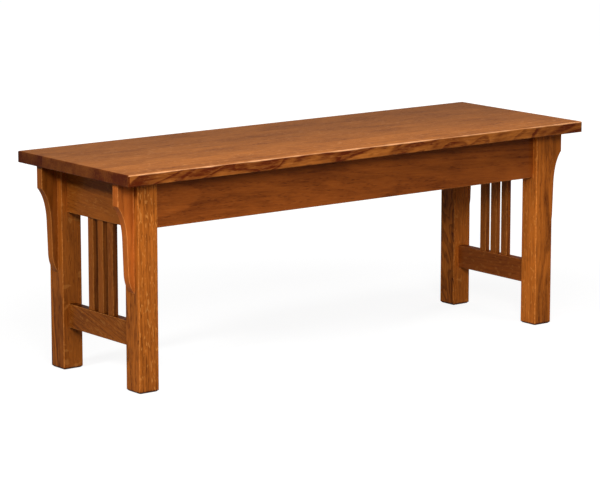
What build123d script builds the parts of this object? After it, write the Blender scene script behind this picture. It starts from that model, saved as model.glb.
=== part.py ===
from build123d import *
from math import sqrt
import os

# A backless oak bench with slatted ends. Sizes are in millimetres.
# The origin is on the floor under the middle of the seat. +X runs along the seat's length,
# -Y is the front, and +Z is up.

# Seat: its outer size, and the four boards that it is glued up from, from back to front
seat_length = 1219.2
seat_depth = 406.4
seat_height = 457.2
seat_thickness = 23.8
seat_corner_round = 3.2
seat_top_round = 2.6
seat_underside_round = 1.6
board_places = ("back", "mid_back", "mid_front", "front")
board_width_shares = (0.23, 0.27, 0.24, 0.26)

# Legs, and how far the seat reaches past their outer faces
leg_width = 48.3
leg_arris_round = 3.0
leg_foot_chamfer = 3.2
end_overhang = 49.0
side_overhang = 40.4

# Aprons under the seat: two long ones, and a short one at each end
apron_height = 100.0
apron_thickness = 20.6
apron_arris_round = 1.6

# Lower rail of each end
rail_height = 50.8
rail_thickness = 20.6
rail_floor_gap = 88.9
rail_arris_round = 1.6

# Slats of each end, let into the end apron above and the lower rail below
slat_count = 3
slat_width = 19.0
slat_thickness = 12.7
slat_gap = 16.5
slat_arris_round = 1.0
slat_housing_depth = 9.5

# Tenons of the aprons and the lower rails, in mortises in the legs
tenon_thickness = 9.5
tenon_top_shoulder = 12.7
tenon_bottom_shoulder = 6.4
side_tenon_length = 28.0
rail_tenon_length = 28.0
rail_tenon_shoulder = 6.4

# Clearances: the glue line round a joint, the space past the end of a tenon, dowel or screw,
# the wood left between two holes, and the running clearance round a screw
glue_gap = 0.1
end_gap = 0.8
mortise_wall = 3.0
screw_gap = 0.1

# Corbels on the outer end faces of the legs. The points of the outline are shares of the
# corbel's reach and height, from the top of the leg's face.
corbel_reach = 38.1
corbel_height = 228.6
corbel_nose_height = 48.0
corbel_thickness = 19.05
corbel_arris_round = 1.4
sweep_pull_share = (0.483, 0.311)
sweep_end_share = (0.430, 0.526)
foot_start_share = (0.370, 0.807)
foot_pull_share = (0.367, 0.923)

# Two dowels hold each corbel to its leg. Their heights are shares of the corbel's height, and
# their depth in it is a share of its reach.
dowel_diameter = 8.0
dowel_height_shares = (0.11, 0.52)
dowel_depth_share = 0.26

# Corner blocks, set across the corners of the frame behind the legs
block_height = 31.8
block_thickness = 28.0
block_leg_gap = 4.0
block_screw_grip = 8.0
block_screw_bite = 14.0
seat_screw_bite = 14.0
pocket_radius = 5.2

# Bent steel clips between the aprons and the seat. Their places are shares of the length
# between the legs.
clip_width = 19.0
clip_thickness = 1.6
clip_reach = 25.0
clip_stand = 3.4
clip_bend_radius = 2.4
clip_engagement = 8.0
clip_screw_bite = 12.7
clip_place_shares = (-0.32, 0.0, 0.32)
kerf_drop = 11.0
kerf_play = 1.0

# Pan-head wood screws with a square socket
screw_shank_radius = 2.1
screw_head_radius = 4.0
screw_head_height = 2.8
screw_head_round = 1.2
screw_point_length = 4.0
screw_socket_width = 2.6
screw_socket_depth = 1.7

# Places worked out from the sizes above
leg_height = seat_height - seat_thickness
foot_width = leg_width - 2 * leg_foot_chamfer
frame_half_length = seat_length / 2 - end_overhang
frame_half_depth = seat_depth / 2 - side_overhang
leg_x = frame_half_length - leg_width / 2
leg_y = frame_half_depth - leg_width / 2
inner_x = frame_half_length - leg_width
inner_y = frame_half_depth - leg_width
apron_bottom = leg_height - apron_height
rail_top = rail_floor_gap + rail_height
apron_inner_x = leg_x - apron_thickness / 2
apron_inner_y = leg_y - apron_thickness / 2
apron_tenon_height = apron_height - tenon_top_shoulder - tenon_bottom_shoulder
apron_tenon_z = apron_bottom + tenon_bottom_shoulder + apron_tenon_height / 2
end_tenon_length = (leg_width - tenon_thickness) / 2 - glue_gap - mortise_wall - end_gap
rail_tenon_height = rail_height - 2 * rail_tenon_shoulder
rail_z = rail_floor_gap + rail_height / 2
slat_pitch = slat_width + slat_gap
dowel_leg_depth = leg_width - side_tenon_length - mortise_wall - 2 * end_gap
dowel_corbel_depth = dowel_depth_share * corbel_reach
block_near = leg_width - apron_thickness + block_leg_gap * sqrt(2)
block_far = block_near + block_thickness * sqrt(2)
block_screw_place = (block_near + block_far) / 2
seat_screw_place = (block_near + block_far) / 4

ends = {"left": -1, "right": 1}
sides = {"front": -1, "back": 1}
corners = [(end, side) for end in ends for side in sides]

os.makedirs("parts", exist_ok=True)


def finish(part, name):
    """Label a finished piece and write it to its own file."""
    part.label = name
    export_step(part, f"parts/{name}.step")


def peg(origin, along, across, width, height, length, mode=Mode.ADD):
    """Add or cut a straight rectangular peg that starts at origin and runs along a direction."""
    with BuildSketch(Plane(origin=origin, x_dir=across, z_dir=along)) as section:
        Rectangle(width, height)
    extrude(section.sketch, amount=length, mode=mode)


def bore(origin, along, radius, depth):
    """Cut a round hole that starts at origin and runs along a direction."""
    with BuildSketch(Plane(origin=origin, z_dir=along)) as section:
        Circle(radius)
    extrude(section.sketch, amount=depth, mode=Mode.SUBTRACT)


def screw(seat, shank_length):
    """Add a pan-head screw. Seat is the plane under its head, facing out of the wood."""
    outward = seat.z_dir
    side_on = Plane(origin=seat.origin, x_dir=seat.x_dir, z_dir=seat.x_dir.cross(outward))
    with BuildSketch(side_on) as outline:
        with BuildLine():
            Polyline(
                (0, screw_head_height),
                (screw_head_radius - screw_head_round, screw_head_height),
            )
            JernArc(
                start=(screw_head_radius - screw_head_round, screw_head_height),
                tangent=(1, 0),
                radius=screw_head_round,
                arc_size=-90,
            )
            Polyline(
                (screw_head_radius, screw_head_height - screw_head_round),
                (screw_head_radius, 0),
                (screw_shank_radius, 0),
                (screw_shank_radius, screw_point_length - shank_length),
                (0, -shank_length),
                (0, screw_head_height),
            )
        make_face()
    revolve(outline.sketch, axis=Axis(seat.origin, outward))
    peg(
        seat.origin + outward * screw_head_height,
        -outward,
        seat.x_dir,
        screw_socket_width,
        screw_socket_width,
        screw_socket_depth,
        mode=Mode.SUBTRACT,
    )


def screw_hole(seat, shank_length):
    """Cut the hole for a screw's shank, a little wider and deeper than the shank."""
    bore(seat.origin, -seat.z_dir, screw_shank_radius + screw_gap, shank_length + end_gap)


def pocket(seat, depth):
    """Cut the pocket that a screw's head goes down, from its seat out of the wood."""
    bore(seat.origin, seat.z_dir, pocket_radius, depth)


def corner_point(end, side, along_side, along_end):
    """A point measured from the corner where the inner faces of two aprons meet."""
    return (
        ends[end] * (apron_inner_x - along_side),
        sides[side] * (apron_inner_y - along_end),
    )


# Where each kind of screw sits: the plane under its head, facing out of the wood
block_screw_z = leg_height - block_height / 2
block_screw_length = block_screw_grip + block_screw_bite
seat_screw_length = block_height + seat_screw_bite
clip_screw_length = clip_thickness + clip_screw_bite
clip_screw_stand = clip_stand + clip_bend_radius + (clip_reach - clip_bend_radius) / 2

side_block_seats = {}
end_block_seats = {}
seat_screw_seats = {}
for corner in corners:
    end, side = corner
    x, y = corner_point(end, side, block_screw_place, block_screw_grip)
    side_block_seats[corner] = Plane(
        origin=(x, y, block_screw_z), x_dir=(1, 0, 0), z_dir=(0, -sides[side], 0)
    )
    x, y = corner_point(end, side, block_screw_grip, block_screw_place)
    end_block_seats[corner] = Plane(
        origin=(x, y, block_screw_z), x_dir=(0, 1, 0), z_dir=(-ends[end], 0, 0)
    )
    x, y = corner_point(end, side, seat_screw_place, seat_screw_place)
    seat_screw_seats[corner] = Plane(
        origin=(x, y, leg_height - block_height), x_dir=(1, 0, 0), z_dir=(0, 0, -1)
    )

# Each clip's plane lies on an apron's inner face at the seat's underside: its x points away
# from the apron and its y points up.
side_clips = {
    side: [
        Plane(
            origin=(share * 2 * inner_x, sides[side] * apron_inner_y, leg_height),
            x_dir=(0, -sides[side], 0),
            z_dir=(-sides[side], 0, 0),
        )
        for share in clip_place_shares
    ]
    for side in sides
}
end_clips = {
    end: [
        Plane(
            origin=(ends[end] * apron_inner_x, 0, leg_height),
            x_dir=(-ends[end], 0, 0),
            z_dir=(0, ends[end], 0),
        )
    ]
    for end in ends
}
all_clips = [clip for group in (side_clips, end_clips) for row in group.values() for clip in row]
clip_screw_seats = [
    Plane(
        origin=clip.from_local_coords((clip_screw_stand, -clip_thickness, 0)),
        x_dir=clip.x_dir,
        z_dir=(0, 0, -1),
    )
    for clip in all_clips
]


def cut_kerfs(clips):
    """Cut the short saw kerf that holds each clip's lower lip."""
    kerf_height = clip_thickness + kerf_play
    for clip in clips:
        peg(
            clip.from_local_coords((0, -kerf_drop - kerf_height / 2, 0)),
            -clip.x_dir,
            clip.z_dir,
            clip_width + 2 * kerf_play,
            kerf_height,
            clip_engagement + end_gap,
            mode=Mode.SUBTRACT,
        )


# The whole seat, rounded all round and bored for its screws
with BuildPart() as slab:
    with BuildSketch(Plane.XY.offset(leg_height)):
        RectangleRounded(seat_length, seat_depth, seat_corner_round)
    extrude(amount=seat_thickness)
    fillet(slab.edges().group_by(Axis.Z)[-1], seat_top_round)
    fillet(slab.edges().group_by(Axis.Z)[0], seat_underside_round)
    for seat in seat_screw_seats.values():
        screw_hole(seat, seat_screw_length)
    for seat in clip_screw_seats:
        screw_hole(seat, clip_screw_length)

# Seat boards, glued edge to edge: each is its own strip of the slab
board_back = seat_depth / 2
for place, share in zip(board_places, board_width_shares):
    board_width = share * seat_depth
    with BuildPart() as board:
        add(slab.part)
        with BuildSketch(Plane((0, board_back - board_width / 2, leg_height))):
            Rectangle(seat_length, board_width)
        extrude(amount=seat_thickness, mode=Mode.INTERSECT)
    finish(board.part, f"seat_board_{place}")
    board_back -= board_width

# Legs, with a mortise for each apron and for the lower rail, and holes for the corbel's dowels
for end, side in corners:
    inward_x = -ends[end]
    inward_y = -sides[side]
    x = ends[end] * leg_x
    y = sides[side] * leg_y
    with BuildPart() as leg:
        with BuildSketch(Plane((x, y, 0))):
            RectangleRounded(foot_width, foot_width, leg_arris_round)
        with BuildSketch(Plane((x, y, leg_foot_chamfer))) as shaft:
            RectangleRounded(leg_width, leg_width, leg_arris_round)
        loft(ruled=True)
        extrude(shaft.sketch, amount=leg_height - leg_foot_chamfer)
        peg(
            (ends[end] * inner_x, y, apron_tenon_z),
            (-inward_x, 0, 0),
            (0, 1, 0),
            tenon_thickness + 2 * glue_gap,
            apron_tenon_height + 2 * glue_gap,
            side_tenon_length + end_gap,
            mode=Mode.SUBTRACT,
        )
        peg(
            (x, sides[side] * inner_y, apron_tenon_z),
            (0, -inward_y, 0),
            (1, 0, 0),
            tenon_thickness + 2 * glue_gap,
            apron_tenon_height + 2 * glue_gap,
            end_tenon_length + end_gap,
            mode=Mode.SUBTRACT,
        )
        peg(
            (x, sides[side] * inner_y, rail_z),
            (0, -inward_y, 0),
            (1, 0, 0),
            tenon_thickness + 2 * glue_gap,
            rail_tenon_height + 2 * glue_gap,
            rail_tenon_length + end_gap,
            mode=Mode.SUBTRACT,
        )
        for share in dowel_height_shares:
            bore(
                (ends[end] * frame_half_length, y, leg_height - share * corbel_height),
                (inward_x, 0, 0),
                dowel_diameter / 2 + glue_gap,
                dowel_leg_depth + end_gap,
            )
    finish(leg.part, f"leg_{end}_{side}")

# Long aprons, front and back
for side in sides:
    y = sides[side] * leg_y
    with BuildPart() as apron:
        with BuildSketch(Plane((0, y, apron_bottom))):
            Rectangle(2 * inner_x, apron_thickness)
        extrude(amount=apron_height)
        fillet(apron.edges().filter_by(Axis.X).group_by(Axis.Z)[0], apron_arris_round)
        for way in ends.values():
            peg(
                (way * inner_x, y, apron_tenon_z),
                (way, 0, 0),
                (0, 1, 0),
                tenon_thickness,
                apron_tenon_height,
                side_tenon_length,
            )
        cut_kerfs(side_clips[side])
        for corner in corners:
            if corner[1] == side:
                screw_hole(side_block_seats[corner], block_screw_length)
    finish(apron.part, f"apron_{side}")


def slat_places():
    """The Y of each slat's middle, evenly about the middle of the end."""
    return [(number - (slat_count - 1) / 2) * slat_pitch for number in range(slat_count)]


def cut_slat_housings(x, z, along):
    """Cut the housing for each slat of one end, from height z along the given direction."""
    for y in slat_places():
        peg(
            (x, y, z),
            along,
            (1, 0, 0),
            slat_thickness + 2 * glue_gap,
            slat_width + 2 * glue_gap,
            slat_housing_depth + end_gap,
            mode=Mode.SUBTRACT,
        )


# Each end: its apron, its lower rail and the slats between them
for end, way in ends.items():
    x = way * leg_x
    with BuildPart() as end_apron:
        with BuildSketch(Plane((x, 0, apron_bottom))):
            Rectangle(apron_thickness, 2 * inner_y)
        extrude(amount=apron_height)
        fillet(end_apron.edges().filter_by(Axis.Y).group_by(Axis.Z)[0], apron_arris_round)
        for across_way in sides.values():
            peg(
                (x, across_way * inner_y, apron_tenon_z),
                (0, across_way, 0),
                (1, 0, 0),
                tenon_thickness,
                apron_tenon_height,
                end_tenon_length,
            )
        cut_slat_housings(x, apron_bottom, (0, 0, 1))
        cut_kerfs(end_clips[end])
        for corner in corners:
            if corner[0] == end:
                screw_hole(end_block_seats[corner], block_screw_length)
    finish(end_apron.part, f"end_apron_{end}")

    with BuildPart() as rail:
        with BuildSketch(Plane((x, 0, rail_floor_gap))):
            Rectangle(rail_thickness, 2 * inner_y)
        extrude(amount=rail_height)
        fillet(rail.edges().filter_by(Axis.Y), rail_arris_round)
        for across_way in sides.values():
            peg(
                (x, across_way * inner_y, rail_z),
                (0, across_way, 0),
                (1, 0, 0),
                tenon_thickness,
                rail_tenon_height,
                rail_tenon_length,
            )
        cut_slat_housings(x, rail_top, (0, 0, -1))
    finish(rail.part, f"lower_rail_{end}")

    for number, y in enumerate(slat_places(), start=1):
        with BuildPart() as slat:
            with BuildSketch(Plane((x, y, rail_top - slat_housing_depth))):
                RectangleRounded(slat_thickness, slat_width, slat_arris_round)
            extrude(amount=apron_bottom - rail_top + 2 * slat_housing_depth)
        finish(slat.part, f"slat_{end}_{number}")

# Corbels: a square nose, a hollow sweep, a long taper and a round foot that runs into the leg
for end, side in corners:
    way = ends[end]
    outer_face = Plane(
        origin=(way * frame_half_length, sides[side] * leg_y, leg_height),
        x_dir=(way, 0, 0),
        z_dir=(0, -way, 0),
    )
    sweep_pull, sweep_end, foot_start, foot_pull = [
        (out * corbel_reach, -down * corbel_height)
        for out, down in (sweep_pull_share, sweep_end_share, foot_start_share, foot_pull_share)
    ]
    with BuildPart() as corbel:
        with BuildSketch(outer_face):
            with BuildLine():
                Polyline(
                    (0, -corbel_height),
                    (0, 0),
                    (corbel_reach, 0),
                    (corbel_reach, -corbel_nose_height),
                )
                Bezier((corbel_reach, -corbel_nose_height), sweep_pull, sweep_end)
                Line(sweep_end, foot_start)
                Bezier(foot_start, foot_pull, (0, -corbel_height))
            make_face()
        extrude(amount=corbel_thickness / 2, both=True)
        nose_edges = corbel.edges().filter_by(Axis.Z).group_by(Axis.X)[-1 if way > 0 else 0]
        fillet(nose_edges, corbel_arris_round)
        lower_edges = corbel.faces().filter_by(Axis.Y).edges().filter_by(
            lambda edge: abs(edge.center().X) > frame_half_length + corbel_arris_round
            and edge.center().Z < leg_height - corbel_nose_height
        )
        fillet(lower_edges, corbel_arris_round)
        for share in dowel_height_shares:
            bore(
                (way * frame_half_length, sides[side] * leg_y, leg_height - share * corbel_height),
                (way, 0, 0),
                dowel_diameter / 2 + glue_gap,
                dowel_corbel_depth + end_gap,
            )
    finish(corbel.part, f"corbel_{end}_{side}")

# Corner blocks, each with two screws into the aprons and one up into the seat
for corner in corners:
    end, side = corner
    with BuildPart() as block:
        with BuildSketch(Plane.XY.offset(leg_height - block_height)):
            with BuildLine():
                Polyline(
                    corner_point(end, side, block_near, 0),
                    corner_point(end, side, block_far, 0),
                    corner_point(end, side, 0, block_far),
                    corner_point(end, side, 0, block_near),
                    close=True,
                )
            make_face()
        extrude(amount=block_height)
        for seat in (side_block_seats[corner], end_block_seats[corner]):
            screw_hole(seat, block_screw_length)
            pocket(seat, block_far)
        screw_hole(seat_screw_seats[corner], seat_screw_length)
    finish(block.part, f"corner_block_{end}_{side}")

# Dowels behind the corbels
with BuildPart() as dowels:
    for end, side in corners:
        way = ends[end]
        for share in dowel_height_shares:
            inner_end = (
                way * (frame_half_length - dowel_leg_depth),
                sides[side] * leg_y,
                leg_height - share * corbel_height,
            )
            with BuildSketch(Plane(origin=inner_end, z_dir=(way, 0, 0))):
                Circle(dowel_diameter / 2)
            extrude(amount=dowel_leg_depth + dowel_corbel_depth)
finish(dowels.part, "corbel_dowels")

# Steel clips: a lip in the kerf, a short rise, and a tongue flat under the seat
with BuildPart() as clips:
    lip_y = -kerf_drop - clip_thickness / 2
    tongue_y = -clip_thickness / 2
    for clip in all_clips:
        with BuildSketch(clip):
            with BuildLine():
                FilletPolyline(
                    (-clip_engagement, lip_y),
                    (clip_stand, lip_y),
                    (clip_stand, tongue_y),
                    (clip_stand + clip_reach, tongue_y),
                    radius=clip_bend_radius,
                )
            trace(line_width=clip_thickness)
        extrude(amount=clip_width / 2, both=True)
    for seat in clip_screw_seats:
        screw_hole(seat, clip_screw_length)
finish(clips.part, "seat_clips")

# Screws, one node for each length
with BuildPart() as clip_screws:
    for seat in clip_screw_seats:
        screw(seat, clip_screw_length)
finish(clip_screws.part, "clip_screws")

with BuildPart() as block_screws:
    for seat in (*side_block_seats.values(), *end_block_seats.values()):
        screw(seat, block_screw_length)
finish(block_screws.part, "block_screws")

with BuildPart() as seat_screws:
    for seat in seat_screw_seats.values():
        screw(seat, seat_screw_length)
finish(seat_screws.part, "seat_screws")
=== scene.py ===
# %% [markdown]
# # A slatted oak bench, from the joiner's model to the finished wood
# The bench is a long oak seat on four square legs, with slats and shaped brackets at both ends.
# Its solids come from CAD, so nothing here changes a shape or a size. What is left to do is what
# Blender does best: the camera, a plain studio, and above all the wood and its stain.

# %% Load the bench's solids and keep their outer box
import bpy
from functools import reduce
from math import pi, radians
from mathutils import Euler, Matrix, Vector


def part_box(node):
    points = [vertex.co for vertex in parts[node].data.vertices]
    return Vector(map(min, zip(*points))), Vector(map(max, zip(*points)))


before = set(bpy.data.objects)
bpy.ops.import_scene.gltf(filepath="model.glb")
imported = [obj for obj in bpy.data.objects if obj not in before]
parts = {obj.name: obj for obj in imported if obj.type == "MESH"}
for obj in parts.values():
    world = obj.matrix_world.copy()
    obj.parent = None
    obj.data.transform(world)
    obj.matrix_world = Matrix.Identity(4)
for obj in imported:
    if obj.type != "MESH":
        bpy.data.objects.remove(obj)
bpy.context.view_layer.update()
scene = bpy.context.scene
scene.view_settings.view_transform = "Standard"

# %% [markdown]
# ## The camera
# The photograph was taken from the front left with a long lens, a little above the seat. The
# camera could be placed by eye, but a bench is all straight lines, and a small error shows. So
# its place, its two turns and its focal length were worked out from the corners of the bench in
# the picture. A real camera is set the same way: put the tripod down, turn, tilt, then zoom.

# %% Set up the camera
PICTURE_WIDTH = 600  # pixels
FOCAL_PIXELS = 2916.33
SENSOR_WIDTH = 36  # millimetres
TRIPOD = (-3.81354, -4.87981, 1.38298)  # metres
LEVEL = pi / 2  # a new camera looks straight down, so this turn brings it level
TILT_DOWN = radians(10.749)
TURN_TO_RIGHT = radians(37.821)

camera_data = bpy.data.cameras.new("studio camera")
camera_data.sensor_width = SENSOR_WIDTH
camera_data.lens = FOCAL_PIXELS * SENSOR_WIDTH / PICTURE_WIDTH
camera = bpy.data.objects.new("studio camera", camera_data)
camera.location = TRIPOD
camera.rotation_euler = (LEVEL - TILT_DOWN, 0, -TURN_TO_RIGHT)
scene.collection.objects.link(camera)
scene.camera = camera
print(f"lens of {camera_data.lens:.1f} mm")

# %% [markdown]
# ## Small helpers for node trees
# A material in Blender is a tree of nodes. It could be drawn by hand in the shader editor, but
# that is slow work for 33 pieces, and hard to read later. So one helper adds a node, makes its
# settings and fills its inputs: a socket is linked and a number is typed in. The others are
# single steps of arithmetic, each named for what it does.

# %% Helpers that add nodes and reckon with numbers
def node(tree, kind, inputs=None, **settings):
    """Add a node. Inputs maps a socket's name or number to a value or to a socket to link."""
    made = tree.nodes.new("ShaderNode" + kind)
    for setting, value in settings.items():
        setattr(made, setting, value)
    for place, value in (inputs or {}).items():
        if isinstance(value, bpy.types.NodeSocket):
            tree.links.new(value, made.inputs[place])
        else:
            made.inputs[place].default_value = value
    return made


def calc(tree, operation, *values, clamp=False):
    """One step of arithmetic on numbers."""
    made = node(tree, "Math", dict(enumerate(values)), operation=operation, use_clamp=clamp)
    return made.outputs[0]


def total(tree, *values):
    """The sum of all the numbers."""
    return reduce(lambda so_far, value: calc(tree, "ADD", so_far, value), values)


def product(tree, *values):
    """All the numbers multiplied."""
    return reduce(lambda so_far, value: calc(tree, "MULTIPLY", so_far, value), values)


def swing(tree, noise, size):
    """Noise from 0 to 1, made to swing about zero: (noise - 0.5) x size."""
    return product(tree, calc(tree, "SUBTRACT", noise, 0.5), size)


def fade(tree, value, start, end, low=0.0, high=1.0):
    """A soft step: low while the value is below start, high when it is past end. Between them
    the way up is t x t x (3 - 2 x t), where t is (value - start) / (end - start)."""
    sockets = {"Value": value, "From Min": start, "From Max": end, "To Min": low, "To Max": high}
    return node(tree, "MapRange", sockets, interpolation_type="SMOOTHSTEP").outputs[0]


print("the helpers for numbers are ready")

# %% [markdown]
# ## Helpers for places and colours
# A pattern starts from a place, three numbers at once, and ends in a colour, so both get helpers.
# Colours are typed as a paint chart gives them, because those numbers are easy to compare with
# what the eye sees, and are turned into amounts of light for the shader.

# %% Helpers that reckon with places and colours
MIX_SHARE, MIX_FIRST, MIX_SECOND, MIX_RESULT = 0, 6, 7, 2  # the Mix node's sockets for colours


def steer(tree, operation, *values):
    """One step of arithmetic on vectors."""
    return node(tree, "VectorMath", dict(enumerate(values)), operation=operation).outputs[0]


def measure(tree, operation, *values):
    """A number worked out from vectors, such as a length."""
    made = node(tree, "VectorMath", dict(enumerate(values)), operation=operation)
    return made.outputs["Value"]


def axes(tree, vector):
    """The three numbers of a vector."""
    return node(tree, "SeparateXYZ", {"Vector": vector}).outputs


def cloud(tree, vector, lumps, detail=2.0, roughness=0.5):
    """Noise with its own number of lumps per metre along each axis: the noise at
    vector x lumps."""
    sized = steer(tree, "MULTIPLY", vector, lumps)
    sockets = {"Vector": sized, "Scale": 1.0, "Detail": detail, "Roughness": roughness}
    return node(tree, "TexNoise", sockets).outputs


def blend_colors(tree, share, first, second):
    """Mix two colours: first x (1 - share) + second x share."""
    sockets = {MIX_SHARE: share, MIX_FIRST: first, MIX_SECOND: second}
    return node(tree, "Mix", sockets, data_type="RGBA").outputs[MIX_RESULT]


def paint(red, green, blue):
    """A colour as a paint chart gives it, from 0 to 255, turned into the light it sends back:
    the share of 255, raised to the power 2.2."""
    return (*[(level / 255) ** 2.2 for level in (red, green, blue)], 1.0)


print("the helpers for places and colours are ready")

# %% [markdown]
# ## Node groups
# One effect, such as growth rings, is used by every wood material. It could be copied into each,
# but a change would then have to be made many times. A node group is built once, with named
# inputs and outputs like a small machine, and each material places it with its own values.

# %% Helpers that open and place a group
def open_group(name, inputs, outputs):
    """Start a node group. Returns its tree, its inputs to read and its outputs to fill."""
    group = bpy.data.node_groups.new(name, "ShaderNodeTree")
    for label, kind in inputs.items():
        group.interface.new_socket(label, in_out="INPUT", socket_type="NodeSocket" + kind)
    for label, kind in outputs.items():
        group.interface.new_socket(label, in_out="OUTPUT", socket_type="NodeSocket" + kind)
    given = group.nodes.new("NodeGroupInput").outputs
    result = group.nodes.new("NodeGroupOutput").inputs
    return group, given, result


def place_group(tree, group, inputs):
    """Place a node group in a tree, with its inputs filled. Returns its outputs."""
    return node(tree, "Group", inputs, node_tree=group).outputs


print("the helpers for groups are ready")

# %% [markdown]
# ## The floor
# The bench stands on a large sheet of paper. A box or a curved backdrop would do as well, but one
# flat square is enough, because the camera looks down and the world behind is as white as the
# sheet.

# %% Lay the floor
FLOOR_HALF = 9.0
CORNERS = ((-1, -1), (1, -1), (1, 1), (-1, 1))
floor_mesh = bpy.data.meshes.new("studio floor")
corners = [(x * FLOOR_HALF, y * FLOOR_HALF, 0) for x, y in CORNERS]
floor_mesh.from_pydata(corners, [], [(0, 1, 2, 3)])
floor = bpy.data.objects.new("studio floor", floor_mesh)
scene.collection.objects.link(floor)
print(f"a floor {2 * FLOOR_HALF} metres wide")

# %% [markdown]
# ## The paper
# White could come from more light, but that would bleach the wood. So the sheet has a dull grey of
# its own, which catches the soft shadow at the feet, and it glows for the camera alone: a little
# less near the bench, so that the shadow isn't lost, and up to paper white further out. It is
# clear to a camera under it, so that the bench can be looked at from below.

# %% Give the floor its paper
WHITE = (1, 1, 1, 1)
PAPER_GREY = (0.2, 0.2, 0.2, 1)
PAPER_ROUGHNESS = 0.9
GLOW_BY_THE_BENCH = 0.87
GLOW_FAR_OFF = 1.0
GLOW_GROWS = (0.7, 1.8)  # metres from the middle of the bench


def only_seen(tree):
    """1 for what the camera sees, straight, mirrored or through glass, and 0 for lighting: the
    largest of the three kinds of ray, each of which is 0 or 1."""
    seen = node(tree, "LightPath").outputs
    straight_or_mirrored = calc(tree, "MAXIMUM", seen["Is Camera Ray"], seen["Is Glossy Ray"])
    return calc(tree, "MAXIMUM", straight_or_mirrored, seen["Is Transmission Ray"])


paper = bpy.data.materials.new("studio paper")
paper.use_nodes = True
tree = paper.node_tree
shader = tree.nodes["Principled BSDF"]
shader.inputs["Base Color"].default_value = PAPER_GREY
shader.inputs["Roughness"].default_value = PAPER_ROUGHNESS
shader.inputs["Specular IOR Level"].default_value = 0.0
shader.inputs["Emission Color"].default_value = WHITE
away = measure(tree, "LENGTH", node(tree, "TexCoord").outputs["Object"])
glow = fade(tree, away, *GLOW_GROWS, GLOW_BY_THE_BENCH, GLOW_FAR_OFF)
tree.links.new(product(tree, only_seen(tree), glow), shader.inputs["Emission Strength"])
from_below = node(tree, "NewGeometry").outputs["Backfacing"]
clear = node(tree, "BsdfTransparent").outputs[0]
either = node(tree, "MixShader", {0: from_below, 1: shader.outputs[0], 2: clear}).outputs[0]
tree.links.new(either, tree.nodes["Material Output"].inputs["Surface"])
floor_mesh.materials.append(paper)
print(f"paper that glows from {GLOW_BY_THE_BENCH} to {GLOW_FAR_OFF}")

# %% [markdown]
# ## The room
# Behind the bench the picture is white too. A white wall could stand there, but it would be in the
# way of the other views. The world is simpler: the camera sees it at full white, while it lights
# the bench only faintly, as the walls of a studio do, so that no shadow is quite black.

# %% Light the room from all round
ROOM_LIGHT = 0.05
world = bpy.data.worlds.new("white room")
world.use_nodes = True
scene.world = world
sky = world.node_tree
background = sky.nodes["Background"].inputs
background["Color"].default_value = WHITE
sky.links.new(fade(sky, only_seen(sky), 0.0, 1.0, ROOM_LIGHT, 1.0), background["Strength"])
print(f"the room lights the bench at {ROOM_LIGHT}")

# %% [markdown]
# ## The lamps
# The photograph's shadows tell where its lamps stood. A long soft box hangs in front of the seat:
# the top is brightest at its front edge and falls off evenly to the back. A high, far lamp on the
# left lights the end frames and leaves a deep shadow under the seat. One beside the camera lights
# the front, and a small one near the left front leg throws a slanting shadow on the right one.
# The last two, behind and on the right, aren't in the photograph. They only keep the far sides
# from going black when the bench is turned round, and the varnish doesn't mirror them. A picture
# of a room could light the bench instead, but its light can't be moved one shadow at a time.

# %% Place the lamps
MIDDLE = (0, 0, 0.3)
SEAT_MIDDLE = (0, 0, 0.4)


def soft_lamp(name, place, aim, width, watts, height=None, gloss=True):
    """An area lamp at a place, turned so that it shines along aim - place."""
    data = bpy.data.lights.new(name, "AREA")
    data.shape = "RECTANGLE"
    data.size = width
    data.size_y = height or width
    data.energy = watts
    lamp = bpy.data.objects.new(name, data)
    lamp.location = place
    lamp.rotation_euler = (Vector(aim) - Vector(place)).to_track_quat("-Z", "Y").to_euler()
    lamp.visible_camera = False
    lamp.visible_glossy = gloss
    scene.collection.objects.link(lamp)
    print(f"{name}: {watts} watts")


soft_lamp(
    "long lamp over the front", (0, -0.75, 1.25), SEAT_MIDDLE, width=2.0, height=0.4, watts=10.6
)
soft_lamp("left lamp", (-5.0, -0.8, 3.5), MIDDLE, width=1.0, watts=184)
soft_lamp("camera lamp", (-2.5, -4.0, 2.2), MIDDLE, width=1.0, watts=85)
soft_lamp("near lamp", (-0.6, -1.2, 0.9), MIDDLE, width=0.6, watts=5.7)
soft_lamp("back lamp", (1.0, 4.8, 0.8), MIDDLE, width=1.2, watts=85, gloss=False)
soft_lamp("right lamp", (4.8, 1.5, 0.8), MIDDLE, width=1.2, watts=100, gloss=False)

# %% [markdown]
# ## Growth rings
# A tree adds a ring of wood each year, so every board is a slice through a nest of cones. Where
# a face runs along a ring it shows tall arches, where it cuts across them it shows straight
# lines, and at its end it shows arcs. Stripes could be painted on each face, but they wouldn't
# meet at the corners. Here all three come from one sum, worked out in space: the distance from
# the heart of the tree, wavering a little, counted in ring widths.

# %% Build the growth rings
HALF = (0.5, 0.5, 0.5)
WAVER_LUMPS = (6, 6, 5.5)  # slow bends of the trunk, in lumps per metre on each axis
SWIRL_LUMPS = (34, 34, 9)  # quick bends of the grain
RIPPLE_LUMPS = (60, 60, 6)  # the unevenness of each ring
RIPPLE_SIZE = 0.004
SPRING_STARTS = (0.0, 0.14)  # shares of a year
SPRING_ENDS = (0.2, 0.75)
SPELLS_PER_YEAR = 0.6  # good and bad years come in spells, with lighter and darker rings
ACROSS = (1, 1, 0)  # keeps the way from the heart and drops the height

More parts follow.
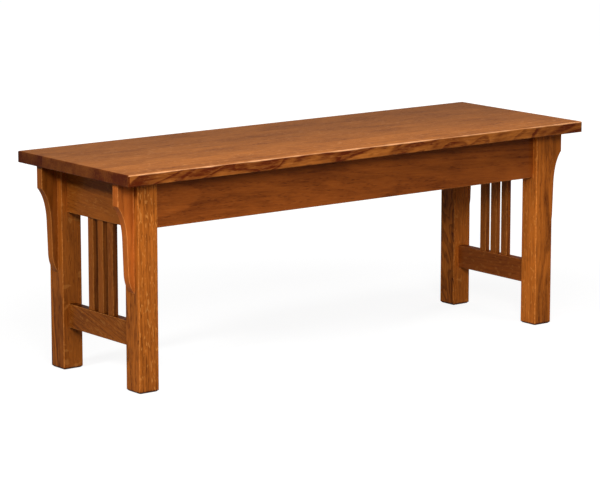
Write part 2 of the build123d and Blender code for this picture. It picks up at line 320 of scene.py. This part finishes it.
rings, given, result = open_group(
    "growth rings",
    {
        "Vector": "Vector", "Own Place": "Vector", "Ring Width": "Float", "Waver": "Float",
        "Swirl": "Float", "Slant": "Vector",
    },
    {"Early Wood": "Float", "Ring Tone": "Float", "Around": "Vector", "Outward": "Vector"},
)
slanted = node(
    rings, "VectorRotate",
    {"Vector": given["Own Place"], "Rotation": given["Slant"]}, rotation_type="EULER_XYZ",
).outputs[0]
# Noise pushes each point aside, slowly for the trunk and quickly for the grain.
place = given["Vector"]
for source, lumps, amount in (
    (given["Own Place"], WAVER_LUMPS, given["Waver"]),
    (slanted, SWIRL_LUMPS, given["Swirl"]),
):
    bend = steer(rings, "SUBTRACT", cloud(rings, source, lumps, detail=1.0)["Color"], HALF)
    bend = node(rings, "VectorMath", {0: bend, "Scale": amount}, operation="SCALE").outputs[0]
    place = steer(rings, "ADD", place, bend)

# The years are counted outwards from the heart, and each begins with its early wood.
from_heart = steer(rings, "MULTIPLY", place, ACROSS)
radius = measure(rings, "LENGTH", from_heart)
ripple = product(rings, cloud(rings, given["Own Place"], RIPPLE_LUMPS)["Fac"], RIPPLE_SIZE)
year = calc(rings, "DIVIDE", total(rings, radius, ripple), given["Ring Width"])
season = calc(rings, "FRACT", year)
spring = product(
    rings, fade(rings, season, *SPRING_STARTS), fade(rings, season, *SPRING_ENDS, 1.0, 0.0)
)
spell = node(
    rings, "TexNoise",
    {"W": year, "Scale": SPELLS_PER_YEAR, "Detail": 1.0}, noise_dimensions="1D",
).outputs["Fac"]

# The rays ask for the way round the heart, and the stain for the way out from it.
x, y, height = axes(rings, place)
angle = calc(rings, "ARCTAN2", y, x)
around = node(rings, "CombineXYZ", {0: angle, 1: radius, 2: height}).outputs[0]
rings.links.new(spring, result["Early Wood"])
rings.links.new(spell, result["Ring Tone"])
rings.links.new(around, result["Around"])
rings.links.new(steer(rings, "NORMALIZE", from_heart), result["Outward"])
print(f"growth rings use {len(rings.nodes)} nodes")

# %% [markdown]
# ## Pores
# Oak is ring-porous: each spring it grows a band of wide open tubes. Cut lengthwise they are
# short, fine grooves that hold the stain and go dark. Modelling thousands of grooves would be far
# too heavy. A cell pattern, stretched about eleven times along the grain, gives such dashes, and
# they crowd where the ring is early wood.

# %% Build the pores
PORE_LUMPS = (520, 520, 48)
PORE_EDGE = (0.12, 0.36)  # distances from a cell's middle, in cells
SPRING_CROWDS = (0.1, 0.8)
PORES_IN_LATE_WOOD = 0.18

pores, given, result = open_group(
    "open pores", {"Vector": "Vector", "Early Wood": "Float"}, {"Pore": "Float"}
)
stretched = steer(pores, "MULTIPLY", given["Vector"], PORE_LUMPS)
cells = node(pores, "TexVoronoi", {"Vector": stretched, "Scale": 1.0, "Randomness": 1.0}).outputs
dash = fade(pores, cells["Distance"], *PORE_EDGE, 1.0, 0.0)
crowd = fade(pores, given["Early Wood"], *SPRING_CROWDS, PORES_IN_LATE_WOOD, 1.0)
pores.links.new(product(pores, dash, crowd), result["Pore"])
print(f"open pores use {len(pores.nodes)} nodes")

# %% [markdown]
# ## Ray flecks
# Rays are thin ribbons of tissue that run from the heart of the tree to its bark. A face that is
# cut along them shows broad bright flecks, and any other face cuts them into short fine lines.
# Flecks could be scattered on the faces that need them. It is simpler to let the tree decide: the
# noise is read by angle round the heart, distance from it and height, and is far tighter round
# the heart than the other two ways, so it is made of such ribbons.

# %% Build the rays
RAY_LENGTH_LUMPS = 38  # in lumps per metre from heart to bark
RAY_HEIGHT_LUMPS = 75
RAY_EDGE = (0.60, 0.68)

rays, given, result = open_group(
    "ray flecks", {"Around": "Vector", "Rays Per Radian": "Float"}, {"Ray": "Float"}
)
angle, radius, height = axes(rays, given["Around"])
ribbon = node(
    rays, "CombineXYZ",
    {
        0: product(rays, angle, given["Rays Per Radian"]),
        1: product(rays, radius, RAY_LENGTH_LUMPS),
        2: product(rays, height, RAY_HEIGHT_LUMPS),
    },
).outputs[0]
tissue = node(rays, "TexNoise", {"Vector": ribbon, "Scale": 1.0, "Detail": 1.0}).outputs["Fac"]
rays.links.new(fade(rays, tissue, *RAY_EDGE), result["Ray"])
print(f"ray flecks use {len(rays.nodes)} nodes")

# %% [markdown]
# ## Worn and lit arrises
# An arris is the edge where two faces meet. Hands and cloths rub the stain thin there, so it is
# lighter. The same light line is also a painted highlight, standing in for the lamps catching the
# rounded arris. Blender can find edges by the shape alone, with a Bevel or a Pointiness node, but
# those are slow or need many more vertices than a board has. A board is nearly a box, so the group
# is told where its middle is and how large it is: the distance to the second nearest face is the
# distance to the nearest arris. The curved edge of a corbel isn't on the box. Its arris is found
# where the surface turns from the edge round to the side. A little noise breaks the line up.

# %% Build the arris wear and painted highlight
WEAR_AND_HIGHLIGHT_FADES = (0.35, 1.0)  # shares of the worn width
WIDTH_PATCHES, WIDTH_VARIES = (0.3, 0.7), (0.7, 1.3)
STRENGTH_PATCHES, STRENGTH_VARIES = (0.35, 0.65), (0.5, 1.0)
TURN_STARTS = (0.15, 0.45)  # how far the surface faces sideways, from 0 to 1
TURN_ENDS = (0.8, 0.97)

# The mask marks the rubbed arris, and also where a highlight is painted along it.
wear_and_highlight, given, result = open_group(
    "arris wear and highlight",
    {
        "Vector": "Vector", "Middle": "Vector", "Half Size": "Vector", "Width": "Float",
        "Lumps": "Float", "Normal": "Vector", "Curved": "Float",
    },
    {"Wear And Highlight": "Float"},
)
# The second nearest face of the box tells how far the nearest arris is.
from_middle = steer(wear_and_highlight, "ABSOLUTE", steer(wear_and_highlight, "SUBTRACT", given["Vector"], given["Middle"]))
left = axes(wear_and_highlight, steer(wear_and_highlight, "SUBTRACT", given["Half Size"], from_middle))
pairs = [calc(wear_and_highlight, "MAXIMUM", left[a], left[b]) for a, b in ((0, 1), (0, 2), (1, 2))]
to_arris = calc(wear_and_highlight, "MINIMUM", calc(wear_and_highlight, "MINIMUM", pairs[0], pairs[1]), pairs[2])
patches = node(
    wear_and_highlight, "TexNoise", {"Vector": given["Vector"], "Scale": given["Lumps"], "Detail": 3.0}
).outputs["Fac"]
reach = product(wear_and_highlight, given["Width"], fade(wear_and_highlight, patches, *WIDTH_PATCHES, *WIDTH_VARIES))
close = fade(wear_and_highlight, calc(wear_and_highlight, "DIVIDE", to_arris, reach), *WEAR_AND_HIGHLIGHT_FADES, 1.0, 0.0)

# A curved arris is where the surface is neither the edge nor the side, but turns between them.
# On a corbel its light line is partly wear and partly a painted highlight along the curve.
sideways = calc(wear_and_highlight, "ABSOLUTE", axes(wear_and_highlight, given["Normal"])["Y"])
turning = product(
    wear_and_highlight, fade(wear_and_highlight, sideways, *TURN_STARTS), fade(wear_and_highlight, sideways, *TURN_ENDS, 1.0, 0.0)
)
close = calc(wear_and_highlight, "MAXIMUM", close, product(wear_and_highlight, turning, given["Curved"]))
strength = fade(wear_and_highlight, patches, *STRENGTH_PATCHES, *STRENGTH_VARIES)
wear_and_highlight.links.new(product(wear_and_highlight, close, strength), result["Wear And Highlight"])
print(f"arris wear and highlight uses {len(wear_and_highlight.nodes)} nodes")

# %% [markdown]
# ## Stain and finish
# The maker wiped a warm brown stain over the oak and left it under a satin varnish. Early wood
# and pores drink it and go dark, late wood and rays stay light, and the open ends of a board
# drink most. Each of these could have a colour of its own, but they are all the same stain, so
# one number adds up how dark a point is, and it chooses between the piece's light and dark
# colour. Contrast says how much of the fine grain shows, because some boards take the stain more
# evenly than others. The same masks say how rough the finish is and how deep the pores lie.

# %% Open the stain and see how each point was cut
END_STARTS = (0.06, 0.45)  # how far the surface faces along the grain, from 0 to 1
FLAT_CUT_STARTS = (0.4, 0.95)  # how far it faces out from the heart, from 0 to 1

stain, given, result = open_group(
    "oak stain",
    {
        "Vector": "Vector", "Early Wood": "Float", "Ring Tone": "Float", "Pore": "Float",
        "Ray": "Float", "Wear And Highlight": "Float", "Normal": "Vector", "Outward": "Vector",
        "Figure": "Float", "Contrast": "Float", "Flat Tone": "Float", "End Tone": "Float",
        "Rub And Highlight": "Float", "Foot Darkening": "Float", "Light Wood": "Color", "Dark Wood": "Color",
        "Fleck": "Color", "Worn And Lit": "Color",
    },
    {"Color": "Color", "Roughness": "Float", "Height": "Float"},
)
along = calc(stain, "ABSOLUTE", axes(stain, given["Normal"])["Z"])
ends = fade(stain, along, *END_STARTS)
outward = calc(
    stain, "ABSOLUTE", measure(stain, "DOT_PRODUCT", given["Normal"], given["Outward"])
)
flat_cut = fade(stain, outward, *FLAT_CUT_STARTS)


def on_ends(share):
    """A factor that is 1 on the long faces and comes down to a share on the ends."""
    return fade(stain, ends, 0.0, 1.0, 1.0, share)


print("the stain knows the ends and the flat-cut faces")

# %% [markdown]
# ## How dark the stain is
# The rings give broad bands, and streaks, fibres and pores give the fine lines. On an end both
# are weaker, because there the eye looks into the tubes. Large blotches come from the rag. They
# could be laid over each other like coats of paint, but then the last coat hides the others. In
# a sum they all count, as they do where a stain soaks in.

# %% Add up how dark each point is
STREAK_LUMPS, STREAK_TONE = (240, 240, 20), 0.85
FIBRE_LUMPS, FIBRE_TONE = (900, 900, 40), 0.5
BLOTCH_LUMPS, BLOTCH_TONE = (20, 20, 8), 0.9
EARLY_WOOD_TONE = 0.35
PORE_TONE = 0.55
# How much darker a foot gets towards the floor.
FOOT_DARKENING_TONE = 0.7
BASE_TONE = 0.14
AVERAGE_YEAR = 0.5  # the ring tone of an average year
FLAT_CUT_BANDS = (0.7, 1.3)  # the rings show more on a flat-cut face
BANDS_ON_ENDS = 0.2
FINE_ON_ENDS = 0.45

streak = cloud(stain, given["Vector"], STREAK_LUMPS, detail=3.0, roughness=0.6)["Fac"]
fibre = cloud(stain, given["Vector"], FIBRE_LUMPS, roughness=0.6)["Fac"]
blotch = cloud(stain, given["Vector"], BLOTCH_LUMPS)["Fac"]
bands = total(
    stain,
    calc(stain, "SUBTRACT", given["Ring Tone"], AVERAGE_YEAR),
    product(stain, given["Early Wood"], EARLY_WOOD_TONE),
)
on_flat_cut = fade(stain, flat_cut, 0.0, 1.0, *FLAT_CUT_BANDS)
bands = product(stain, bands, given["Figure"], on_flat_cut, on_ends(BANDS_ON_ENDS))
fine = total(
    stain,
    swing(stain, streak, STREAK_TONE),
    swing(stain, fibre, FIBRE_TONE),
    product(stain, given["Pore"], PORE_TONE),
)
fine = product(stain, fine, given["Contrast"], on_ends(FINE_ON_ENDS))
dark = total(
    stain,
    bands,
    fine,
    swing(stain, blotch, BLOTCH_TONE),
    product(stain, ends, given["End Tone"]),
    product(stain, flat_cut, given["Flat Tone"]),
    product(stain, given["Foot Darkening"], FOOT_DARKENING_TONE),
)
dark = calc(stain, "ADD", dark, BASE_TONE, clamp=True)
print(f"the stain's darkness takes {len(stain.nodes)} nodes")

# %% [markdown]
# ## Colour, gloss and relief
# The darkness mixes the two colours of the wood, and the flecks go over them. The worn arrises
# go over both: lighter where the stain is rubbed, and partly a painted highlight. The varnish lies
# rougher over pores and a little smoother over rays. A color ramp with many stops could give the
# colours, but two of them, typed in for each piece, are easier to match to a real board. The
# grooves are only a height that the shader leans its light by.

# %% Turn the darkness into colour, roughness and height
FLECK_STRENGTH = 0.35
FLECKS_ON_FLAT_CUT = 0.35
FLECKS_ON_ENDS = 0.0
SATIN = 0.44  # the varnish's roughness, before the wood below changes it
PORE_ROUGHNESS, FIBRE_ROUGHNESS, RAY_ROUGHNESS = 0.2, 0.12, -0.05
PORE_HEIGHT, EARLY_WOOD_HEIGHT, FIBRE_HEIGHT = -0.8, -0.15, 0.3  # shares of a pore's depth

few_on_flat_cut = fade(stain, flat_cut, 0.0, 1.0, 1.0, FLECKS_ON_FLAT_CUT)
fleck_strength = product(stain, given["Contrast"], FLECK_STRENGTH)
flecks = product(
    stain, given["Ray"], on_ends(FLECKS_ON_ENDS), few_on_flat_cut, fleck_strength
)
shade = blend_colors(stain, dark, given["Light Wood"], given["Dark Wood"])
shade = blend_colors(stain, flecks, shade, given["Fleck"])
# The worn arris: rubbed wear, with a painted highlight laid over it.
rubbed_and_lit = product(stain, given["Wear And Highlight"], given["Rub And Highlight"])
shade = blend_colors(stain, rubbed_and_lit, shade, given["Worn And Lit"])
stain.links.new(shade, result["Color"])
rough = total(
    stain,
    SATIN,
    product(stain, given["Pore"], PORE_ROUGHNESS),
    product(stain, fibre, FIBRE_ROUGHNESS),
    product(stain, given["Ray"], RAY_ROUGHNESS),
)
stain.links.new(rough, result["Roughness"])
relief = total(
    stain,
    1.0,
    product(stain, given["Pore"], PORE_HEIGHT),
    product(stain, given["Early Wood"], EARLY_WOOD_HEIGHT),
    product(stain, fibre, FIBRE_HEIGHT),
)
stain.links.new(relief, result["Height"])
print(f"oak stain uses {len(stain.nodes)} nodes")

# %% [markdown]
# ## Each piece in its own tree
# Every piece was cut from its own place in a tree. One material for all would be less work, but
# then the same knot of grain would come back on every leg. So each piece says how its grain runs
# and where the heart of its tree lay. A Mapping node turns the piece's own coordinates so that the
# tree stands upright in the pattern, with its heart at the origin.

# %% A function that finds a piece's place in its tree
GRAIN_TURNS = {
    "X": Euler((0, -pi / 2, 0)),
    "Y": Euler((pi / 2, 0, 0)),
    "Z": Euler((0, 0, 0)),
}


def place_in_tree(tree, own, name, grain, heart, tilt):
    """A piece's coordinates and normal, turned so that its grain runs up, and moved so that the
    heart of its tree is at the origin: turn x (place - middle of the piece - heart)."""
    low, high = (Vector(corner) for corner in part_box(name))
    lean = Euler((radians(tilt[0]), radians(tilt[1]), 0)).to_matrix()
    turn = lean @ GRAIN_TURNS[grain].to_matrix()
    to_origin = -(turn @ ((low + high) / 2 + Vector(heart)))
    log = node(
        tree, "Mapping",
        {"Vector": own["Object"], "Location": to_origin, "Rotation": turn.to_euler()},
    ).outputs[0]
    log_normal = node(
        tree, "Mapping",
        {"Vector": own["Normal"], "Rotation": turn.to_euler()}, vector_type="VECTOR",
    ).outputs[0]
    return log, log_normal


print(f"grain can run along {', '.join(GRAIN_TURNS)}")

# %% [markdown]
# ## Rings, pores and rays of one piece
# The three groups are placed together, because the pores ask for the early wood and the rays ask
# for the way round the heart. They could be one large group, but small ones can be looked at one
# at a time. The further a piece lies from the heart, the more rays share the same angle, so that
# the ribbons keep their real distance from each other.

# %% A function that places the wood's groups
RAY_SPACING = 0.0016


def wood_masks(tree, log, own_place, heart, ring, waver, swirl, slant):
    """The masks that the stain asks for: early wood, ring tone, pores, rays and way outward."""
    lean = (radians(slant[0]), radians(slant[1]), 0)
    grown = place_group(
        tree, rings,
        {
            "Vector": log, "Own Place": own_place, "Ring Width": ring, "Waver": waver,
            "Swirl": swirl, "Slant": lean,
        },
    )
    early_wood = grown["Early Wood"]
    pore = place_group(tree, pores, {"Vector": own_place, "Early Wood": early_wood})["Pore"]
    rays_per_radian = Vector(heart).length / RAY_SPACING
    ribbons = {"Around": grown["Around"], "Rays Per Radian": rays_per_radian}
    ray = place_group(tree, rays, ribbons)["Ray"]
    return {
        "Early Wood": early_wood, "Ring Tone": grown["Ring Tone"], "Outward": grown["Outward"],
        "Pore": pore, "Ray": ray,
    }


print(f"rays lie about {RAY_SPACING * 1000} mm apart")

# %% [markdown]
# ## Oak, stained and varnished
# One function puts the wood, the wear, the stain and the varnish together. The varnish could be a
# glossy layer of its own, with its own mesh. The shader's coat does the same for a film as thin
# as this: a clear, slightly rough layer over the wood. The wood under it has no gloss of its own.

# %% A function that makes an oak material
BUMP_STRENGTH = 0.35
PORE_DEPTH = 0.0003
COAT_WEIGHT = 0.10
COAT_ROUGHNESS = 0.28
FOOT_DARKENING_FULL = 0.4  # the share of the darkened height up to which it is at its darkest

# Light wood, dark wood, fleck, and the worn arris, which also carries a painted highlight.
OAK_COLORS = ((178, 98, 37), (84, 40, 13), (205, 130, 62), (222, 142, 72))


def oak(name, grain, heart, seed, tilt=(0, 0), colors=OAK_COLORS, tone=1.0, figure=0.6,
        contrast=1.0, ring=0.0030, waver=0.008, swirl=0.002, slant=(0, 0), flat_tone=0.2,
        end_tone=0.7, rub_and_highlight=0.45, worn_and_lit_width=0.0020, worn_and_lit_lumps=160, curved=0.0, wear_and_highlight_box=None,
        foot_darkening_height=0.0):
    """Stained oak for one piece. Lengths are in metres and angles in degrees.

    grain: the axis that the wood grew along.
    heart: the way from the middle of the piece to the heart of the tree.
    seed: the place in the noise from which this piece's pattern is read.
    tilt: how far the tree leans in the pattern.
    colors, tone: the four colours of the wood, all multiplied by the tone.
    figure, contrast: how strong the rings are, and the fine grain.
    ring, waver, swirl, slant: the rings' width, their slow and quick bends, and the quick
        bends' lean.
    flat_tone, end_tone: how much more stain the flat-cut faces take, and the ends.
    rub_and_highlight, worn_and_lit_width, worn_and_lit_lumps, curved, wear_and_highlight_box:
    the strength, width and lumps of the arris wear and its painted highlight, 1 for a piece
    with curved arrises, and the box whose arrises are worn and lit.
    foot_darkening_height: how far up from the floor a foot gets darker."""
    low, high = (Vector(corner) for corner in (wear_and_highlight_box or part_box(name)))
    light, dark, fleck, worn_and_lit = (paint(*[tone * level for level in color]) for color in colors)
    material = bpy.data.materials.new(f"stained oak {name}")
    material.use_nodes = True
    tree = material.node_tree
    own = node(tree, "TexCoord").outputs
    log, log_normal = place_in_tree(tree, own, name, grain, heart, tilt)
    own_place = steer(tree, "ADD", log, seed)
    masks = wood_masks(tree, log, own_place, heart, ring, waver, swirl, slant)
    # The arris mask: rubbed wear, and a painted highlight.
    masks["Wear And Highlight"] = place_group(
        tree, wear_and_highlight,
        {
            "Vector": own["Object"], "Middle": (low + high) / 2, "Half Size": (high - low) / 2,
            "Width": worn_and_lit_width, "Lumps": worn_and_lit_lumps, "Normal": own["Normal"], "Curved": curved,
        },
    )["Wear And Highlight"]
    # A foot gets darker towards the floor.
    if foot_darkening_height:
        up = axes(tree, own["Object"])["Z"]
        masks["Foot Darkening"] = fade(tree, up, FOOT_DARKENING_FULL * foot_darkening_height, foot_darkening_height, 1.0, 0.0)
    finish = place_group(
        tree, stain,
        {
            "Vector": own_place, "Normal": log_normal, **masks, "Figure": figure,
            "Contrast": contrast, "Flat Tone": flat_tone, "End Tone": end_tone, "Rub And Highlight": rub_and_highlight,
            "Light Wood": light, "Dark Wood": dark, "Fleck": fleck, "Worn And Lit": worn_and_lit,
        },
    )
    bump = {"Strength": BUMP_STRENGTH, "Distance": PORE_DEPTH, "Height": finish["Height"]}
    shader = tree.nodes["Principled BSDF"].inputs
    tree.links.new(finish["Color"], shader["Base Color"])
    tree.links.new(finish["Roughness"], shader["Roughness"])
    tree.links.new(node(tree, "Bump", bump).outputs[0], shader["Normal"])
    shader["Specular IOR Level"].default_value = 0.0
    shader["Coat Weight"].default_value = COAT_WEIGHT
    shader["Coat Roughness"].default_value = COAT_ROUGHNESS
    return material


def dress(name, material):
    """Give a piece its material in every slot."""
    for slot in parts[name].material_slots:
        slot.material = material


print(f"oak has a coat of {COAT_WEIGHT}, with a roughness of {COAT_ROUGHNESS}")

# %% [markdown]
# ## The seat boards
# The seat is glued up from four boards. Their tops are cut nearly along the rays and show long
# even lines. The front board's heart lies far behind it, so its front edge is cut flat, and the
# wood wavers enough there to run out as slanting dark patches. Each board could have its own worn
# arrises, but the joints between boards aren't arrises. So the wear is measured on one box for
# the whole seat, with all of its sides moved out of the way but the front and the top: only the
# arris between those two is made light. That line is partly rubbed wear and partly a painted
# highlight, where the rounded front edge catches the lamps.

# %% Dress the seat boards
OUT_OF_THE_WAY = 0.05
# The last colour is the front arris: rubbed wear, lightened further as a painted highlight.
TOP_COLORS = ((177, 105, 46), (82, 33, 10), (196, 128, 74), (226, 162, 112))
# The tones step down from the front board to the back one: partly the boards' own tone, partly
# painted shade, as the top gets less light towards the back.
seat_boards = {
    "seat_board_front": dict(
        heart=(0, 0.20, 0.03), seed=(98.0, 3.1, 3.1), tilt=(1.0, 0.6), figure=1.0, ring=0.0055,
        waver=0.030, swirl=0.015, slant=(0, 18), flat_tone=0.34,
    ),
    "seat_board_mid_front": dict(
        heart=(0, -0.16, -0.05), seed=(44.2, 7.7, 7.7), tilt=(0.5, -0.8), tone=0.95, waver=0.012,
    ),
    "seat_board_mid_back": dict(
        heart=(0, 0.18, 0.05), seed=(42.1, 12.9, 12.9), tilt=(-0.6, 0.5), tone=0.91, waver=0.012,
    ),
    "seat_board_back": dict(
        heart=(0, -0.15, -0.06), seed=(105.8, 18.2, 18.2), tilt=(0.8, 0.9), tone=0.895,
        waver=0.012,
    ),
}
low = Vector([min(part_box(name)[0][axis] for name in seat_boards) for axis in range(3)])
high = Vector([max(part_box(name)[1][axis] for name in seat_boards) for axis in range(3)])
low -= Vector((OUT_OF_THE_WAY, 0, OUT_OF_THE_WAY))
high += Vector((OUT_OF_THE_WAY, OUT_OF_THE_WAY, 0))
for name, cut in seat_boards.items():
    material = oak(
        name, "X", colors=TOP_COLORS, rub_and_highlight=0.8, worn_and_lit_width=0.0030, worn_and_lit_lumps=14,
        wear_and_highlight_box=(low, high), **cut,
    )
    dress(name, material)
print(f"{len(seat_boards)} seat boards dressed")

# %% [markdown]
# ## The legs
# A leg is one square post with upright grain. The heart of its tree lay in front of it or behind
# it, or to its left or right: the two faces that look along that line are cut flat, and the other
# two are cut along the rays. The same wood, turned round for each leg, would be enough for a quick
# picture. Here each leg has its own heart, rings and tone, set to look like the real one. The
# right legs' lighter tones are partly painted light, lifting the right end where the lamps give
# less.
# The feet get darker for a few millimetres towards the floor.

# %% Dress the legs
# How far up from the floor the feet get darker.
FOOT_DARKENING_HEIGHT = 0.006
FLAT_TONE = 0.1
legs = {
    "leg_left_front": dict(
        heart=(0.11, 0.02, 0), seed=(28.3, 21, 21), tilt=(0.6, 0.4), tone=1.01, figure=0.8,
        contrast=1.7, flat_tone=0.0,
    ),
    # Lighter tone: partly this leg's own, partly painted light where the lamps leave the right end
    # darker.
    "leg_right_front": dict(
        heart=(0.02, 0.12, 0), seed=(22, 22, 22), tilt=(0.4, 0.7), tone=1.15, flat_tone=FLAT_TONE,
    ),
    "leg_left_back": dict(
        heart=(0.10, -0.02, 0), seed=(30.3, 23, 23), tilt=(0.7, 0.5), tone=0.94, figure=0.9,
        contrast=1.2, flat_tone=FLAT_TONE,
    ),
    # Lighter tone: partly this leg's own, partly painted light where the lamps leave it in shade.
    "leg_right_back": dict(
        heart=(0.09, 0.01, 0), seed=(31.3, 24, 24), tilt=(0.5, 1.2), tone=1.14, figure=1.0,
        swirl=0.015, slant=(30, 0), flat_tone=FLAT_TONE,
    ),
}
for name, cut in legs.items():
    dress(name, oak(name, "Z", foot_darkening_height=FOOT_DARKENING_HEIGHT, **cut))
print(f"{len(legs)} legs dressed")

# %% [markdown]
# ## The corbels
# A corbel is a shaped bracket. One stands on the outer face of each leg, under the overhang of
# the seat. Its wood is plain, and its curved underside isn't as dark as a sawn end, because it
# was sanded smooth. It could be dressed as a leg is, but then it would melt into the leg behind
# it. So it gets weaker grain and little of the stain that ends drink, and its light arris follows
# the curve: partly wear and partly a painted highlight, where the curve catches the lamps. The
# left back corbel's lower tone is partly painted shade, as it stands in shadow at the back.

# %% Dress the corbels
RED_OAK_COLORS = ((178, 94, 38), (86, 37, 14), (205, 126, 62), (222, 138, 72))
corbels = {
    "corbel_left_front": dict(
        heart=(0.02, 0.10, 0), seed=(31, 31, 31), tone=1.07, colors=RED_OAK_COLORS
    ),
    "corbel_right_front": dict(heart=(0.01, 0.12, 0), seed=(32, 32, 32), tone=1.1),
    # Partly painted shade: this corbel is set darker than the others.
    "corbel_left_back": dict(heart=(0.02, 0.09, 0), seed=(33, 33, 33), tone=0.9),
    "corbel_right_back": dict(heart=(0.02, 0.11, 0), seed=(34, 34, 34)),
}
for name, cut in corbels.items():
    material = oak(
        name, "Z", figure=0.4, contrast=0.5, end_tone=0.1, rub_and_highlight=0.6, curved=1.0, **cut
    )
    dress(name, material)
print(f"{len(corbels)} corbels dressed")

# %% [markdown]
# ## Aprons and rails
# The aprons join the legs under the seat, and the lower rails join them near the floor. A board's
# grain runs along its length, or it would snap, so the long aprons are grown along X and those of
# the ends along Y. A tree that leans more in the pattern gives lines that run off a board's edge,
# as on the left lower rail.

# %% Dress the aprons and rails
long_apron = dict(grain="X", tone=0.9, figure=0.35, ring=0.004, colors=RED_OAK_COLORS)
aprons_and_rails = {
    "apron_front": dict(
        heart=(0, 0.17, -0.02), seed=(41, 41, 41), tilt=(0.5, -3), contrast=0.75, **long_apron
    ),
    "apron_back": dict(
        heart=(0, -0.16, 0.01), seed=(42, 42, 42), tilt=(0.5, 2), **long_apron
    ),
    "end_apron_left": dict(
        grain="Y", heart=(0.03, 0, -0.16), seed=(80.2, 51, 51), tilt=(-5, 0), tone=0.87,
        contrast=0.7,
    ),
    "end_apron_right": dict(
        grain="Y", heart=(0.02, 0, -0.14), seed=(52, 52, 52), tilt=(4, 0), tone=0.9
    ),
    "lower_rail_left": dict(
        grain="Y", heart=(0.02, 0, 0.13), seed=(62.3, 55, 55), tilt=(-16, 0), tone=0.84,
        figure=1.1,
    ),
    "lower_rail_right": dict(
        grain="Y", heart=(0.03, 0, 0.15), seed=(56, 56, 56), tilt=(3, 0), tone=0.9,
        colors=RED_OAK_COLORS,
    ),
}
for name, cut in aprons_and_rails.items():
    dress(name, oak(name, **cut))
print(f"{len(aprons_and_rails)} aprons and rails dressed")

# %% [markdown]
# ## The slats
# Three thin slats stand in each end. Slats are often ripped from one plank, so the three of an end
# share one tone. The middle one is turned over, with its heart on the other side, as a
# joiner does to keep a row from looking too regular.

# %% Dress the slats
SLAT_TONES = {"left": 0.82, "right": 1.0}
SLAT_CUTS = {
    1: dict(heart=(0.02, 0.09, 0), seed=(65, 65, 65)),
    2: dict(heart=(0.02, -0.09, 0), seed=(70, 70, 70)),
    3: dict(heart=(0.02, 0.09, 0), seed=(75, 75, 75)),
}
for end, tone in SLAT_TONES.items():
    for number, cut in SLAT_CUTS.items():
        name = f"slat_{end}_{number}"
        dress(name, oak(name, "Z", tone=tone, contrast=0.7, **cut))
print(f"{len(SLAT_TONES) * len(SLAT_CUTS)} slats dressed")

# %% [markdown]
# ## Hidden wood
# Under the seat, out of sight, a block is screwed into each corner, and two dowels hold each
# corbel. Nobody stains what nobody sees, so these are bare wood. A plain pale colour would do from
# a distance, but the bench can be looked at from below, so they are the same oak, only paler.

# %% Dress the blocks and dowels
BARE_COLORS = ((205, 165, 110), (160, 115, 66), (220, 185, 130), (214, 176, 122))
hidden = {
    f"corner_block_{end}_{side}": dict(grain="Y", heart=(0.05, 0, 0.09), seed=(70, 70, 70))
    for end in ("left", "right") for side in ("front", "back")
}
hidden["corbel_dowels"] = dict(grain="X", heart=(0, 0.3, 0.2), seed=(80, 80, 80))
for name, cut in hidden.items():
    dress(name, oak(name, colors=BARE_COLORS, **cut))
print(f"{len(hidden)} hidden pieces of wood dressed")

# %% [markdown]
# ## Hidden steel
# The clips and screws are plated: a thin bright metal over steel. A plain metal colour would look
# like a toy. Fine noise, stretched along one axis, gives the lines of the drawing die, and a
# cloudy bloom makes some places duller and rougher than others, as zinc gets with age.

# %% Dress the steel
DRAWN_LINES = (900, 900, 120)
BLOOM_LUMPS = (60, 60, 60)
BLOOM_SHOWS = (0.2, 0.8)
BLOOM_DULLS = 0.7
SMOOTHER, ROUGHER = -0.08, 0.12
SCRATCH_STRENGTH = 0.2
SCRATCH_DEPTH = 0.0001


def plated_steel(name, color, roughness):
    """Plated steel: a metal colour with fine drawn lines and a faint bloom in its gloss."""
    material = bpy.data.materials.new(name)
    material.use_nodes = True
    tree = material.node_tree
    own = node(tree, "TexCoord").outputs["Object"]
    lines = cloud(tree, own, DRAWN_LINES, detail=3.0)["Fac"]
    bloom = cloud(tree, own, BLOOM_LUMPS)["Fac"]
    gloss = fade(tree, bloom, *BLOOM_SHOWS, roughness + SMOOTHER, roughness + ROUGHER)
    duller = (*[BLOOM_DULLS * level for level in color[:3]], 1.0)
    bump = {"Strength": SCRATCH_STRENGTH, "Distance": SCRATCH_DEPTH, "Height": lines}
    shader = tree.nodes["Principled BSDF"].inputs
    tree.links.new(blend_colors(tree, bloom, color, duller), shader["Base Color"])
    tree.links.new(gloss, shader["Roughness"])
    tree.links.new(node(tree, "Bump", bump).outputs[0], shader["Normal"])
    shader["Metallic"].default_value = 1.0
    return material


dress("seat_clips", plated_steel("bright zinc", paint(190, 194, 198), roughness=0.32))
yellow_zinc = plated_steel("yellow zinc", paint(206, 172, 96), roughness=0.34)
screws = ("clip_screws", "block_screws", "seat_screws")
for name in screws:
    dress(name, yellow_zinc)
print(f"the clips and {len(screws)} kinds of screws dressed")
